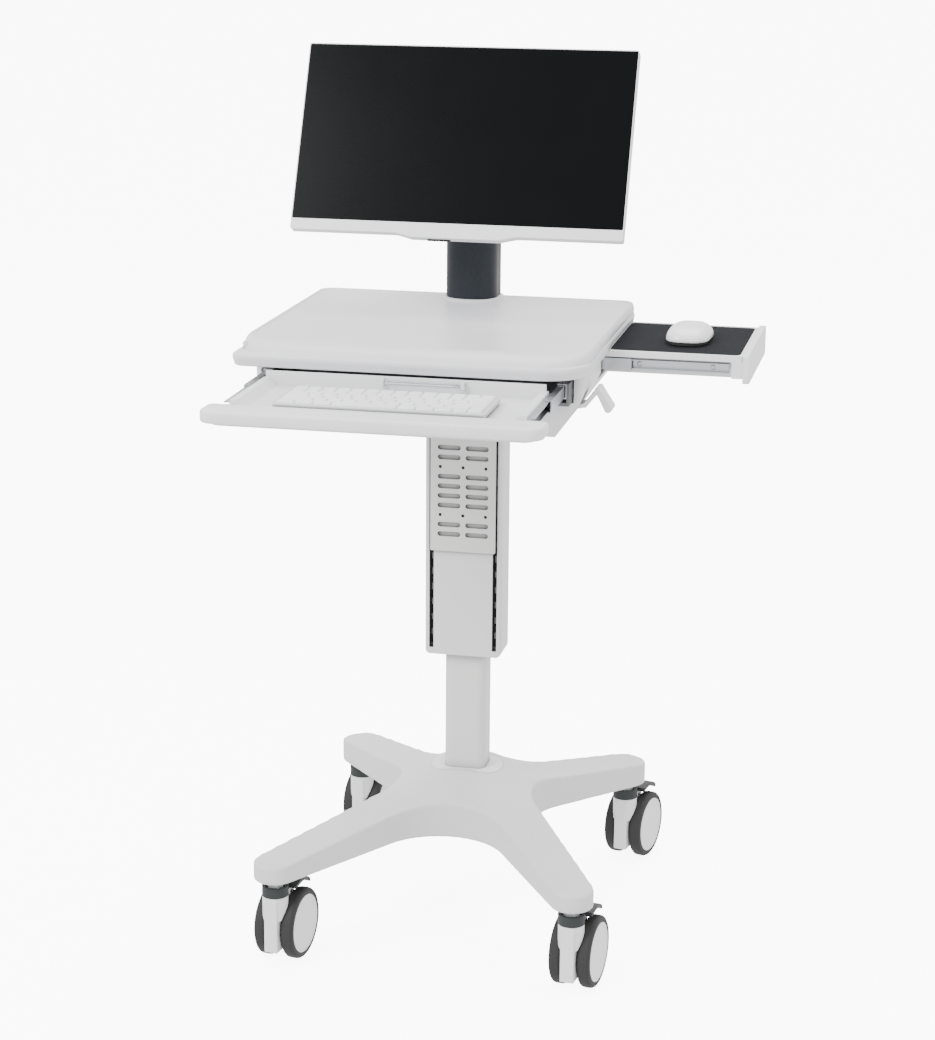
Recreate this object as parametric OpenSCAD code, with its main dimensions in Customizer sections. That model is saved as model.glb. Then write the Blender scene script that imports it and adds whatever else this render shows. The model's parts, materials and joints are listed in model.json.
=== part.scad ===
// Mobile computer cart: four-arm base on twin-wheel casters, lifting column,
// worktop head with keyboard drawer and mouse tray, tilting monitor on a neck.
// Millimetres. X to the right, Y to the back, Z up. The origin is on the floor
// under the column. The drawer and the mouse tray are drawn pulled out.

/* [Casters] */
// Diameter of the wheels
wheel_d = 95; // [90:1:96]
// Width of one tyre
tyre_w = 17; // [14:0.5:18]
// Distance from the swivel axis back to the wheel axis
trail = 35; // [34:0.5:37]
// Half the distance between the left and right stems
stem_x = 197; // [190:1:205]
// Distance from the column to the front stems
stem_front = 278; // [265:1:290]
// Distance from the column to the rear stems
stem_rear = 175; // [160:1:195]

/* [Column] */
// Width of the upper column
column_w = 106; // [105:0.5:108]
// Depth of the upper column
column_d = 69; // [68.5:0.5:70]
// Height of the mouth of the upper column
column_mouth = 366; // [350:1:380]
// Width of the lower column
lower_w = 57; // [54:0.5:59]
// Depth of the lower column
lower_d = 50; // [47:0.5:50]

/* [Worktop] */
// Width of the worktop
top_w = 431; // [427:1:440]
// Height of the worktop's rim
top_z = 851; // [851:1:853]
// Distance from the column to the front lip
top_front = 375; // [370:1:380]
// Distance from the column to the back edge
top_back = 39; // [39:1:45]

/* [Drawer] */
// How far the keyboard drawer is pulled out
drawer_out = 176; // [120:1:176]
// Width of the palm rest
rest_w = 399; // [380:1:402]
// Width of the drawer tray between its slides
tray_w = 348; // [345:0.5:348]

/* [Mouse tray] */
// How far the mouse tray is pulled out
mouse_out = 176; // [120:1:176]
// Depth of the tray from front to back
mouse_d = 201; // [201:1:202]

/* [Monitor] */
// Width of the monitor
screen_w = 431; // [400:1:460]
// Height of the monitor
screen_h = 250; // [230:1:270]
// Lean of the monitor from upright
screen_tilt = 24.75; // [10:0.25:30]

/* [Hidden] */
$fn = 64;
white = [0.88, 0.88, 0.89];
shade = [0.80, 0.80, 0.80];
silver = [0.72, 0.73, 0.75];
steel = [0.55, 0.57, 0.60];
charcoal = [0.24, 0.25, 0.27];
black = [0.07, 0.07, 0.08];
grey = [0.43, 0.45, 0.45];
run = 0.05;            // running clearance of shafts and bushes
wall = 3;              // wall of the shells

// casters: name, stem position and swivel angle as the cart stands
wheel_r = wheel_d / 2;
rim_r = wheel_r - 8.5;
wheel_x = 19;          // centre of each tyre from the caster's middle plane
axle_r = 4;
stem_r = 6;
arm_z = 121.5;         // underside of the base arms
tip_r = 28;            // round end of an arm
hub_y = 10;            // top of the hub's dome, behind the column's front
collar_z = 99;
stems = [[-stem_x, -stem_front], [stem_x, -stem_front], [-stem_x, stem_rear], [stem_x, stem_rear]];
turns = [-8, -8, -10, -14];

// column
column_y = -3.5;
front_y = column_y - column_d / 2;
lower_y = 0.5;
hub_z = 200;
socket_z = 125;        // floor of the socket that the lower column stands in
lower_top = 640;
frame_z = 785;         // underside of the head frame, top of the column
frame_t = 4;
deck_z = frame_z + frame_t;
track_x = 43.5;
track_w = 6;
bore_w = column_w - 6; // hollow of the upper column
bore_d = 55;
gas_top = 545;
gas_bore_r = 11;
rod_r = 5;
rod_z = 345;

// accessory bracket
plate_w = 89;
plate_h = 167;
plate_z = 597;
row_step = 13.25;
hole_x = 31;
hole_r = 2.2;
plate_t = 3;
plate_gap = 1.5;       // from the column's face to the back of the plate

// worktop head
half_w = top_w / 2;
lip_z = 823;           // underside of the lip and of the worktop's skirt
flat_z = top_z - 2;
side_x = 206;          // outer face of the housing's side walls
house_front = -305;
house_back = 35.2;
bay_y0 = -191;         // mouse tray bay, front and back
bay_y1 = 18;

// ball slides: each is 13 deep, from the tray's side to the frame's side
slide_t = 13;
drawer_len = 137;
drawer_z = 803;
tray_x = tray_w / 2;
slide_back = -192;     // back end of the drawer's fixed members
tray_back = -195 - drawer_out;
floor_z = 802.5;       // floor of the keyboard's well
rim_z = 812;           // top of the tray's sides
wall_z = 820;          // top of the tray's back wall
clip_z = 815;          // axis of the keyboard clip
rest_back = tray_back - 136;
rest_front = rest_back - 48;
mouse_len = 165;
mouse_z = 810;
mouse_y = -86.5;
mouse_x0 = 32 + mouse_out;
plate_under = 819.5;
mat_z = 826.4;

// keyboard
keys_w = 250;
keys_d = 94;
keys_y = rest_back + 1 + keys_d / 2;
case_z0 = 804;
case_z1 = 810.5;
key_top = 813;
key_rows = 6;
key_cols = 14;
key_px = 17.2;
key_py = 14.6;

// height lever, neck and monitor
lever_x = 186;
lever_z = 776;
lever_y = -283;
neck_y = 5;
neck_w = 68;
neck_y0 = -23;         // front and back of the neck's cover
neck_y1 = 36;
boss_z = 853.5;
neck_top = 1018;
pin_y = -20;
pin_z = 1042;
pin_r = 5;
back_y = -25;          // back of the monitor, measured forward from the tilt pin
face_y = -60;          // front of the monitor
panel_x = 4.5;         // middle of the panel from the middle of the tilt plate

// ---------- shared shapes ----------

// rectangle with round corners: rf at the low-Y corners, rb at the high-Y corners
module round_rect(x0, x1, y0, y1, rf, rb) {
    translate([x0 + rf, y0])
        square([x1 - x0 - 2 * rf, y1 - y0 - rb]);
    translate([x0 + rb, y0 + rf])
        square([x1 - x0 - 2 * rb, y1 - y0 - rf]);
    translate([x0, y0 + rf])
        square([x1 - x0, y1 - y0 - rf - rb]);
    for (x = [x0 + rf, x1 - rf])
        translate([x, y0 + rf])
            circle(r = rf);
    for (x = [x0 + rb, x1 - rb])
        translate([x, y1 - rb])
            circle(r = rb);
}

module block(x0, x1, y0, y1, z0, z1) {
    translate([x0, y0, z0])
        cube([x1 - x0, y1 - y0, z1 - z0]);
}

module slab(x0, x1, y0, y1, z0, z1, rf, rb) {
    translate([0, 0, z0])
        linear_extrude(z1 - z0)
            round_rect(x0, x1, y0, y1, rf, rb);
}

// cylinder along X, centred on x = 0
module x_rod(r, len, y, z) {
    translate([-len / 2, y, z])
        rotate([0, 90, 0])
            cylinder(r = r, h = len);
}

// solid of a Y-Z outline between two X planes
module side_profile(x0, x1) {
    translate([x0, 0, 0])
        rotate([90, 0, 90])
            linear_extrude(x1 - x0)
                children();
}

module box_tube(w, d, r, t, z0, z1, y) {
    translate([0, y, 0])
        difference() {
            slab(-w / 2, w / 2, -d / 2, d / 2, z0, z1, r, r);
            slab(-w / 2 + t, w / 2 - t, -d / 2 + t, d / 2 - t, z0 - 1, z1 + 1, r - t, r - t);
        }
}

// ---------- base ----------

// plan of one arm, from the hub out to its stem
module arm_plan(p) {
    hull() {
        translate(p)
            circle(r = tip_r, $fn = 40);
        translate([sign(p[0]) * 58, sign(p[1]) * 38])
            circle(r = 36, $fn = 40);
    }
}

module star_plan() {
    offset(r = -88, $fn = 72)
        offset(r = 88, $fn = 72) {
            round_rect(-82, 82, -88, 92, 30, 30);
            for (p = stems)
                arm_plan(p);
        }
}

// height of the base's top surface at distance r from the top of the dome
function roof(r) = min(hub_z, 148 + 30 * (1 - r / 346) + 26 * exp(-pow(max(r - 30, 0) / 48, 2)));

// everything under the top surface
module under_roof(rise) {
    translate([0, hub_y, rise])
        rotate_extrude($fn = 96)
            polygon(concat(
                [[0, arm_z - 1], [400, arm_z - 1]],
                [for (r = [400, 300, 220, 160, 130, 110, 95, 82, 70, 60, 50, 42]) [r, roof(r)]],
                [[0, hub_z]]));
}

// plan of the cover round the column's foot, grown by g
module foot_plan(g) {
    round_rect(-49 - g, 49 + g, lower_y - lower_d / 2 - 4 - g, lower_y + lower_d / 2 + 4 + g, 26, 26);
}

module base_star() {
    color(white)
        difference() {
            intersection() {
                translate([0, 0, arm_z])
                    linear_extrude(hub_z - arm_z)
                        star_plan();
                under_roof(0);
            }
            for (p = stems)
                translate([p[0], p[1], arm_z - 1])
                    cylinder(r = stem_r + run, h = 24);
            slab(-lower_w / 2 - 0.1, lower_w / 2 + 0.1, lower_y - lower_d / 2 - 0.1,
                 lower_y + lower_d / 2 + 0.1, socket_z, hub_z + 1, 12.1, 12.1);
            translate([0, 0, hub_z - 7])
                linear_extrude(20)
                    foot_plan(0.5);
        }
}

module foot_cover() {
    color(white)
        difference() {
            intersection() {
                translate([0, 0, hub_z - 7])
                    linear_extrude(20)
                        foot_plan(0);
                under_roof(0.4);
            }
            slab(-lower_w / 2 - 0.3, lower_w / 2 + 0.3, lower_y - lower_d / 2 - 0.3,
                 lower_y + lower_d / 2 + 0.3, hub_z - 8, hub_z + 4, 12.3, 12.3);
        }
}

// ---------- casters, drawn with the swivel axis at x = y = 0 ----------

module at_caster(i) {
    translate([stems[i][0], stems[i][1], 0])
        rotate([0, 0, turns[i]])
            children();
}

module caster_stems() {
    color(silver)
        for (p = stems)
            translate([p[0], p[1], 0]) {
                translate([0, 0, 70])
                    cylinder(r = stem_r, h = 70);
                translate([0, 0, collar_z + 9])
                    cylinder(r = 11, h = arm_z - collar_z - 9, $fn = 6);
            }
}

module leg_plan() {
    leg_z0 = 22;
    intersection() {
        union() {
            translate([trail, wheel_r])
                circle(r = wheel_r - 6);
            translate([-17, leg_z0])
                square([30, collar_z - leg_z0 - 4]);
        }
        translate([-17, leg_z0])
            square([62, collar_z - leg_z0]);
    }
    translate([0, 70])
        square([40, collar_z - 70.5]);
}

module caster_body(i) {
    color(white)
        at_caster(i)
            difference() {
                union() {
                    side_profile(-9.5, 9.5)
                        leg_plan();
                    difference() {
                        translate([0, 0, 66])
                            cylinder(r = 17, h = collar_z - 66);
                        for (s = [-1, 1])
                            x_half_disc(s, wheel_r + 1.5);
                    }
                    translate([0, 0, collar_z - 1])
                        cylinder(r = 13.5, h = 8);
                }
                translate([0, 0, 60])
                    cylinder(r = stem_r + run, h = 50);
                x_rod(axle_r + run, 30, trail, wheel_r);
                block(-6, 6, 24, 42, 85, 110);
                x_rod(2.5 + run, 30, 31, 93);
            }
}

// room for one wheel beside the leg
module x_half_disc(s, r) {
    translate([s * 9.5, trail, wheel_r])
        rotate([0, s * 90, 0])
            cylinder(r = r, h = 30);
}

module caster_collar(i) {
    color(grey)
        at_caster(i)
            translate([0, 0, collar_z])
                difference() {
                    cylinder(r = 17.5, h = 13.5);
                    translate([0, 0, -1])
                        cylinder(r = 13.5 + run, h = 20);
                }
}

// brake pedal: an arched plate on a tongue that turns on its pin
module caster_pedal(i) {
    color(charcoal)
        at_caster(i) {
            side_profile(-22, 22)
                polygon(concat(
                    [for (k = [0:10]) pedal_point(k / 10, 2.8)],
                    [for (k = [10:-1:0]) pedal_point(k / 10, -2.8)]));
            side_profile(-5.5, 5.5) {
                translate([31, 93])
                    circle(r = 6);
                translate([27, 93])
                    square([8, 13]);
            }
            x_rod(2.5, 18, 31, 93);
        }
}

function pedal_point(t, off) = [20 + 45 * t, 104 + 4 * sin(150 * t) - 9 * t * t * t + off];

module caster_wheels(i) {
    color(white)
        at_caster(i) {
            x_rod(axle_r, 24, trail, wheel_r);
            for (s = [-1, 1])
                translate([s * 11, trail, wheel_r])
                    rotate([0, s * 90, 0])
                        rotate_extrude($fn = 96)
                            polygon([[0, 0], [rim_r - run, 0], [rim_r - run, 16.2], [rim_r - 2, 16.8],
                                     [rim_r - 3.5, 15.6], [20, 16.4], [0, 16.8]]);
        }
}

module caster_tyres(i) {
    edge = 5;
    color(grey)
        at_caster(i)
            for (s = [-1, 1])
                translate([s * wheel_x, trail, wheel_r])
                    rotate([0, 90, 0])
                        rotate_extrude($fn = 96)
                            polygon(concat(
                                [[rim_r, -tyre_w / 2], [rim_r, tyre_w / 2]],
                                [for (a = [90:-22.5:0])
                                    [wheel_r - edge + edge * cos(a), tyre_w / 2 - edge + edge * sin(a)]],
                                [for (a = [0:-22.5:-90])
                                    [wheel_r - edge + edge * cos(a), edge - tyre_w / 2 + edge * sin(a)]]));
}

// ---------- column ----------

module lower_column() {
    color(white)
        box_tube(lower_w, lower_d, 12, wall, socket_z, lower_top, lower_y);
}

module guide(gap_out, gap_in, z0, z1) {
    translate([0, lower_y, 0])
        difference() {
            slab(-bore_w / 2 + gap_out, bore_w / 2 - gap_out, -bore_d / 2 + gap_out,
                 bore_d / 2 - gap_out, z0, z1, 10, 20);
            slab(-lower_w / 2 - gap_in, lower_w / 2 + gap_in, -lower_d / 2 - gap_in,
                 lower_d / 2 + gap_in, z0 - 1, z1 + 1, 12 + gap_in, 12 + gap_in);
        }
}

module upper_guide() {
    color(charcoal)
        guide(run, 0.02, lower_top - 40, lower_top);
}

module lower_guide() {
    color(charcoal)
        guide(0.02, run, column_mouth + 2, column_mouth + 32);
}

module gas_cylinder() {
    color(charcoal)
        translate([0, lower_y, 0])
            difference() {
                translate([0, 0, socket_z])
                    cylinder(r = gas_bore_r + 3, h = gas_top - socket_z);
                translate([0, 0, socket_z + 6])
                    cylinder(r = gas_bore_r, h = gas_top - socket_z - 12);
                translate([0, 0, gas_top - 10])
                    cylinder(r = rod_r + run, h = 20);
            }
}

module gas_rod() {
    color(silver)
        translate([0, lower_y, 0]) {
            translate([0, 0, rod_z])
                cylinder(r = rod_r, h = frame_z - rod_z);
            translate([0, 0, rod_z])
                cylinder(r = gas_bore_r - run, h = 10);
        }
}

module upper_column() {
    slot_d = 9;
    color(white)
        difference() {
            intersection() {
                translate([0, 0, column_mouth])
                    linear_extrude(frame_z - column_mouth)
                        difference() {
                            translate([0, column_y])
                                round_rect(-column_w / 2, column_w / 2, -column_d / 2, column_d / 2, 6, 22);
                            translate([0, lower_y])
                                round_rect(-bore_w / 2, bore_w / 2, -bore_d / 2, bore_d / 2, 10, 20);
                        }
                // round lower corners, seen from the front
                translate([0, 60, 0])
                    rotate([90, 0, 0])
                        linear_extrude(120)
                            round_rect(-column_w / 2, column_w / 2, column_mouth, frame_z + 30, 8, 8);
            }
            for (s = [-1, 1])
                block(s * track_x - track_w / 2, s * track_x + track_w / 2, front_y - 1, front_y + slot_d,
                      column_mouth + 9, frame_z + 1);
        }
}

module track_strips() {
    pitch = 21.5;
    color(black)
        for (s = [-1, 1])
            difference() {
                block(s * track_x - 2.9, s * track_x + 2.9, front_y + 7.5, front_y + 9,
                      column_mouth + 14, frame_z - 5);
                for (k = [0:17])
                    block(s * track_x - 1.5, s * track_x + 1.5, front_y + 7, front_y + 10,
                          column_mouth + 24 + k * pitch, column_mouth + 34 + k * pitch);
            }
}

module accessory_bracket() {
    color(white)
        difference() {
            union() {
                translate([0, front_y - plate_gap, 0])
                    rotate([90, 0, 0])
                        linear_extrude(plate_t)
                            round_rect(-plate_w / 2, plate_w / 2, plate_z - plate_h / 2,
                                       plate_z + plate_h / 2, 2, 2);
                for (s = [-1, 1])
                    block(s * track_x - (s > 0 ? 2.9 : 0), s * track_x + (s > 0 ? 0 : 2.9),
                          front_y - plate_gap - 1, front_y + 6.5,
                          plate_z - plate_h / 2 + 10, plate_z + plate_h / 2 - 10);
            }
            for (row = [-4.5, -3.5, -1.5, -0.5, 0.5, 1.5, 3.5, 4.5])
                for (s = [-1, 1])
                    bracket_slot(s * 19, plate_z + row * row_step);
            for (row = [-2.5, 2.5])
                for (x = [-hole_x, 0, hole_x])
                    translate([x, front_y + 10, plate_z + row * row_step])
                        rotate([90, 0, 0])
                            cylinder(r = hole_r, h = 30);
        }
}

module bracket_slot(x, z) {
    r = 3.3;
    reach = 12.3;
    translate([x, front_y + 10, z])
        rotate([90, 0, 0])
            linear_extrude(30) {
                square([2 * reach, 2 * r], center = true);
                for (s = [-1, 1])
                    translate([s * reach, 0])
                        circle(r = r);
            }
}

// ---------- worktop head ----------

module head_frame() {
    ear_y0 = lever_y - 17;
    color(steel)
        difference() {
            union() {
                block(-196, 196, house_front + 5, 25, frame_z, deck_z);
                for (s = [-1, 1]) {
                    // ear and upright for the drawer's slide
                    block(min(s * 160, s * (tray_x + slide_t + wall)),
                          max(s * 160, s * (tray_x + slide_t + wall)),
                          slide_back - drawer_len, -190, frame_z, deck_z);
                    block(min(s * (tray_x + slide_t), s * (tray_x + slide_t + wall)),
                          max(s * (tray_x + slide_t), s * (tray_x + slide_t + wall)),
                          slide_back - drawer_len, slide_back, frame_z, 812);
                }
                // uprights for the mouse tray's slides
                for (y = [mouse_y - mouse_d / 2 - wall, mouse_y + mouse_d / 2])
                    block(25, 196, y, y + wall, frame_z, plate_under - 0.5);
                // ears that hold the lever's pin
                for (y = [ear_y0, lever_y + 14])
                    block(lever_x - 7, lever_x + 0.3, y, y + 3, lever_z - 5, frame_z + 1);
            }
            translate([lever_x, ear_y0 - 1, lever_z])
                rotate([-90, 0, 0])
                    cylinder(r = 2.5 + 0.02, h = 40);
        }
}

// body of the housing, shrunk by g: its plan, its front outline and its side outline meet
module housing_body(g, cap) {
    intersection() {
        slab(-side_x + g, side_x - g, house_front + g, house_back - g, 700, lip_z + 5 + cap, 10 - g, 12 - g);
        translate([0, 100, 0])
            rotate([90, 0, 0])
                linear_extrude(500)
                    polygon([[g - side_x, 900], [g - side_x, 800], [1.2 * g - side_x + 7, 783],
                             [1.2 * g - side_x + 39, 741 + g - 4], [side_x - 39 - 1.2 * g, 741 + g - 4],
                             [side_x - 7 - 1.2 * g, 783], [side_x - g, 800], [side_x - g, 900]]);
        side_profile(-300, 300)
            polygon([[-400, 900], [-400, 741 + g], [-200, 741 + g], [60, 755 + g], [60, 900]]);
    }
}

module head_housing() {
    color(white)
        difference() {
            union() {
                difference() {
                    housing_body(0, 0);
                    housing_body(wall, 5);
                }
                for (x = [-150, 150])
                    for (p = [[-250, 743], [0, 754]])
                        translate([x, p[0], p[1]])
                            cylinder(r = 6, h = frame_z - p[1]);
            }
            // front mouth for the drawer
            block(-192, 192, house_front - 5, house_front + 8, frame_z - 1, lip_z + 12);
            // right mouth for the mouse tray
            block(side_x - 8, side_x + 5, bay_y0, bay_y1, 790, lip_z + 12);
            // slot for the height lever
            block(lever_x - 2, side_x + 5, lever_y - 14.2, lever_y + 14.2, 768, 797);
            // room for the column
            slab(-column_w / 2 - 0.8, column_w / 2 + 0.8, front_y - 0.8, column_y + column_d / 2 + 0.6,
                 700, 787, 6, 20);
        }
}

// Y-Z outline of the worktop's front, with its soft nose
module nose_outline() {
    polygon(concat(
        [[top_back + 1, lip_z], [-341, lip_z], [4 - top_front, lip_z], [-top_front, lip_z + 4]],
        [for (a = [0:10:90]) [-335 - (top_front - 335) * cos(a), top_z - 15 + 15 * sin(a)]],
        [[top_back + 1, top_z]]));
}

// feet under the worktop, standing on the head frame
feet = [[-194, -280], [-194, -215], [194, -245], [194, -205], [-190, -60], [-190, 18], [188, 22.2]];
foot_r = 3.8;

module worktop() {
    step_z = 838;
    color(white)
        difference() {
            union() {
                intersection() {
                    side_profile(-half_w - 5, half_w + 5)
                        nose_outline();
                    union() {
                        slab(-half_w, half_w, -top_front, top_back, lip_z - 1, step_z, 14, 18);
                        slab(-half_w, half_w, -top_front, top_back, step_z, top_z + 1, 60, 18);
                    }
                }
                slab(-38, 38, neck_y0 - 4, neck_y1 + 2, flat_z - 2, boss_z, 32, 9);
            }
            difference() {
                slab(-half_w + 8, half_w - 8, -334, top_back - 7, flat_z, top_z + 5, 20, 14);
                slab(-38, 38, neck_y0 - 4, neck_y1 + 2, flat_z - 2, boss_z, 32, 9);
            }
            difference() {
                slab(-half_w + 3.5, half_w - 3.5, -341, top_back - 3.5, 800, flat_z - 4, 8, 14);
                for (p = feet)
                    translate([p[0], p[1], deck_z])
                        cylinder(r = foot_r, h = 80);
            }
            block(half_w - 5, half_w + 5, bay_y0, bay_y1, lip_z - 5, 831);
            slab(-20, 20, neck_y - 15, neck_y + 15, 800, 900, 3, 3);
        }
    color(white)
        for (p = feet)
            translate([p[0], p[1], deck_z])
                cylinder(r = foot_r, h = flat_z - 4 - deck_z);
}

// ---------- ball slides, one member each, in a frame where x runs from the
// tray's side (0) to the frame's side (13), y is the length and z the height ----------

module slide_channel(web0, web1, lip0, half_h, len) {
    block(web0, web1, 0, len, -half_h, half_h);
    for (s = [-1, 1])
        block(min(lip0, web0), max(lip0, web1), 0, len,
              s * half_h - (s > 0 ? 1.2 : 0), s * half_h + (s > 0 ? 0 : 1.2));
}

module inner_member(len) {
    slide_channel(0, 1.2, 8, 6, len);
}

module middle_member(len) {
    slide_channel(9.8, 11, 3, 7.5, len);
}

module outer_member(len) {
    slide_channel(12, 13, 2, 9, len);
}

// both sides of the drawer, pulled out by shift
module drawer_pair(shift) {
    for (s = [0, 1])
        mirror([s, 0, 0])
            translate([tray_x, slide_back - drawer_len - shift, drawer_z])
                children();
}

// front and back of the mouse tray, pulled out by shift
module mouse_pair(shift) {
    for (s = [0, 1])
        translate([0, mouse_y, 0])
            mirror([0, s, 0])
                translate([30 + shift, mouse_d / 2 - slide_t, mouse_z])
                    mirror([1, -1, 0])
                        children();
}

module fixed_slides() {
    color(silver) {
        drawer_pair(0)
            outer_member(drawer_len);
        mouse_pair(0)
            outer_member(mouse_len + 4);
    }
}

module drawer_middle_slides() {
    color(silver)
        drawer_pair(drawer_out / 2)
            middle_member(drawer_len);
}

module drawer_slides() {
    color(silver)
        drawer_pair(drawer_out)
            inner_member(drawer_len);
}

module mouse_middle_slides() {
    color(silver)
        mouse_pair(mouse_out / 2)
            middle_member(mouse_len - 40);
}

module mouse_slides() {
    color(silver)
        mouse_pair(mouse_out)
            inner_member(mouse_len - 8);
}

// ---------- keyboard drawer ----------

module drawer_tray() {
    rest_z1 = 808;
    well_x = tray_x - 19;
    color(white) {
        difference() {
            union() {
                slab(-rest_w / 2, rest_w / 2, rest_front, rest_back, 792.5, rest_z1, 18, 6);
                slab(-rest_w / 2 + 10, rest_w / 2 - 10, rest_front + 8, rest_back, 789, 793, 12, 2);
                block(-tray_x, tray_x, rest_back - 1, tray_back, 797, rim_z);
                block(wall - tray_x, tray_x - wall, tray_back - wall, tray_back, 797, wall_z);
            }
            // well that the keyboard lies in, with sloping sides
            translate([0, tray_back - wall, 0])
                rotate([90, 0, 0])
                    linear_extrude(tray_back - wall - rest_back)
                        polygon([[-well_x, floor_z], [well_x, floor_z], [tray_x - 9, rim_z],
                                 [tray_x - 9, 830], [9 - tray_x, 830], [9 - tray_x, rim_z]]);
            // the palm rest slopes down to the keyboard
            side_profile(-rest_w, rest_w)
                polygon([[rest_front + 12, rest_z1], [rest_front + 12, rest_z1 + 12],
                         [rest_back + 0.01, rest_z1 + 12], [rest_back + 0.01, rest_z1 - 1]]);
        }
        // knuckles of the retaining clip
        for (x = [-26, 72])
            difference() {
                block(x - 3, x + 3, tray_back - wall - 8, tray_back - wall + 0.5, 808, clip_z + 4);
                translate([x - 5, tray_back - wall - 4, clip_z])
                    rotate([0, 90, 0])
                        cylinder(r = 1.2 + run, h = 10);
            }
    }
}

module keyboard_clip() {
    clip_y = tray_back - wall - 4;
    color(silver) {
        translate([-29, clip_y, clip_z])
            rotate([0, 90, 0])
                cylinder(r = 1.2, h = 104);
        for (x = [-18, 64])
            translate([x, clip_y, clip_z])
                rotate([90, 0, 0])
                    cylinder(r = 1, h = 12);
        translate([-19.5, clip_y - 12, clip_z])
            rotate([0, 90, 0])
                cylinder(r = 1.2, h = 85);
    }
}

module keyboard_case() {
    color(white)
        difference() {
            union() {
                slab(-keys_w / 2, keys_w / 2, keys_y - keys_d / 2, keys_y + keys_d / 2,
                     case_z0, case_z1, 5, 5);
                for (x = [-110, 110])
                    for (y = [-36, 36])
                        translate([x, keys_y + y, floor_z])
                            cylinder(r = 4, h = 2);
            }
            translate([0, 0, case_z1 - 3.2])
                space_bar_block(0.4, 10);
        }
}

// left edge of key column c
function key_x(c) = -key_cols * key_px / 2 + c * key_px;
function key_y(r) = keys_y - key_rows * key_py / 2 + r * key_py;

module key(c, r, units) {
    gap = 1.6;
    block(key_x(c) + gap / 2, key_x(c + units) - gap / 2, key_y(r) + gap / 2, key_y(r + 1) - gap / 2,
          case_z1, key_top);
}

// rows from the front: number of key units of each key, left to right
key_plan = [
    [1.25, 1.25, 1.25, -4.5, 1.25, 1.25, 1.25, 1, 1],
    [2.25, 1, 1, 1, 1, 1, 1, 1, 1, 1, 1.75, 1],
    [1.75, 1, 1, 1, 1, 1, 1, 1, 1, 1, 1, 2.25],
    [1.5, 1, 1, 1, 1, 1, 1, 1, 1, 1, 1, 1, 1.5],
    [1, 1, 1, 1, 1, 1, 1, 1, 1, 1, 1, 1, 2],
    [1, 1, 1, 1, 1, 1, 1, 1, 1, 1, 1, 1, 1, 1]
];

function key_start(row, k) = k == 0 ? 0 : key_start(row, k - 1) + abs(row[k - 1]);

module keyboard_keys() {
    color(white)
        for (r = [0:key_rows - 1])
            for (k = [0:len(key_plan[r]) - 1])
                if (key_plan[r][k] > 0)
                    key(key_start(key_plan[r], k), r, key_plan[r][k]);
}

module space_bar_block(grow, h) {
    block(key_x(3.75) + 0.8 - grow, key_x(8.25) - 0.8 + grow,
          key_y(0) + 0.8 - grow, key_y(1) - 0.8 + grow, 0, h);
}

module space_bar() {
    color(white)
        translate([0, 0, case_z1 - 1])
            space_bar_block(0, key_top - case_z1 + 1);
}

// ---------- mouse tray ----------

module mouse_tray() {
    x1 = mouse_x0 + 173;
    y0 = mouse_y - mouse_d / 2;
    y1 = mouse_y + mouse_d / 2;
    color(white)
        difference() {
            union() {
                slab(mouse_x0, x1, y0, y1, plate_under, mat_z + 0.6, 3, 3);
                for (s = [-1, 1]) {
                    side = s * (mouse_d / 2 - slide_t);
                    // skirt that carries the slide, and the corner block beside the end cover
                    block(mouse_x0, x1, mouse_y + min(side, side - s * wall),
                          mouse_y + max(side, side - s * wall), 798, plate_under + 1);
                    block(x1 - 14, x1, mouse_y + min(side, s * mouse_d / 2),
                          mouse_y + max(side, s * mouse_d / 2), 799, plate_under + 1);
                }
            }
            slab(mouse_x0 + 6, x1 - 4.5, y0 + 6.5, y1 - 4.5, mat_z - 2, mat_z + 5, 8.1, 8.1);
        }
}

module mouse_mat() {
    x1 = mouse_x0 + 173;
    color(black)
        slab(mouse_x0 + 6.1, x1 - 4.6, mouse_y - mouse_d / 2 + 6.6, mouse_y + mouse_d / 2 - 4.6,
             mat_z - 2, mat_z, 8, 8);
}

module tray_end_cover() {
    x1 = mouse_x0 + 173;
    color(white)
        translate([x1, 0, 0])
            rotate([90, 0, 90])
                linear_extrude(8)
                    round_rect(mouse_y - mouse_d / 2 - 3, mouse_y + mouse_d / 2 + 3, 793, 830, 5, 5);
}

// the mouse is drawn about its own middle, standing on the mat
mouse_len_y = 100;
mouse_wid = 57;
scroll_z = 11.6;

module at_mouse() {
    translate([mouse_x0 + 95, -91, mat_z])
        children();
}

module egg(wid, len) {
    hull()
        for (s = [-1, 1])
            translate([0, s * (len - wid) / 2])
                circle(r = wid / 2, $fn = 40);
}

module mouse_base() {
    color(grey)
        at_mouse()
            linear_extrude(5)
                egg(mouse_wid - 4, mouse_len_y - 5);
}

module mouse_shell() {
    color(white)
        at_mouse()
            difference() {
                hull() {
                    translate([0, 0, 5])
                        linear_extrude(4.5)
                            egg(mouse_wid, mouse_len_y);
                    translate([0, 0, 13])
                        linear_extrude(1)
                            egg(mouse_wid - 5, mouse_len_y - 9);
                    translate([0, -4, 19])
                        linear_extrude(1)
                            egg(mouse_wid - 17, mouse_len_y - 38);
                    translate([0, -6, 22])
                        linear_extrude(0.5)
                            egg(mouse_wid - 34, mouse_len_y - 66);
                }
                block(-3.6, 3.6, 21, 39, 4, 30);
                x_rod(1.5 + run, 16, 30, scroll_z);
            }
}

module mouse_wheel() {
    color(charcoal)
        at_mouse() {
            x_rod(6.4, 6, 30, scroll_z);
            x_rod(1.5, 14, 30, scroll_z);
        }
}

// ---------- height lever ----------

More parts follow.
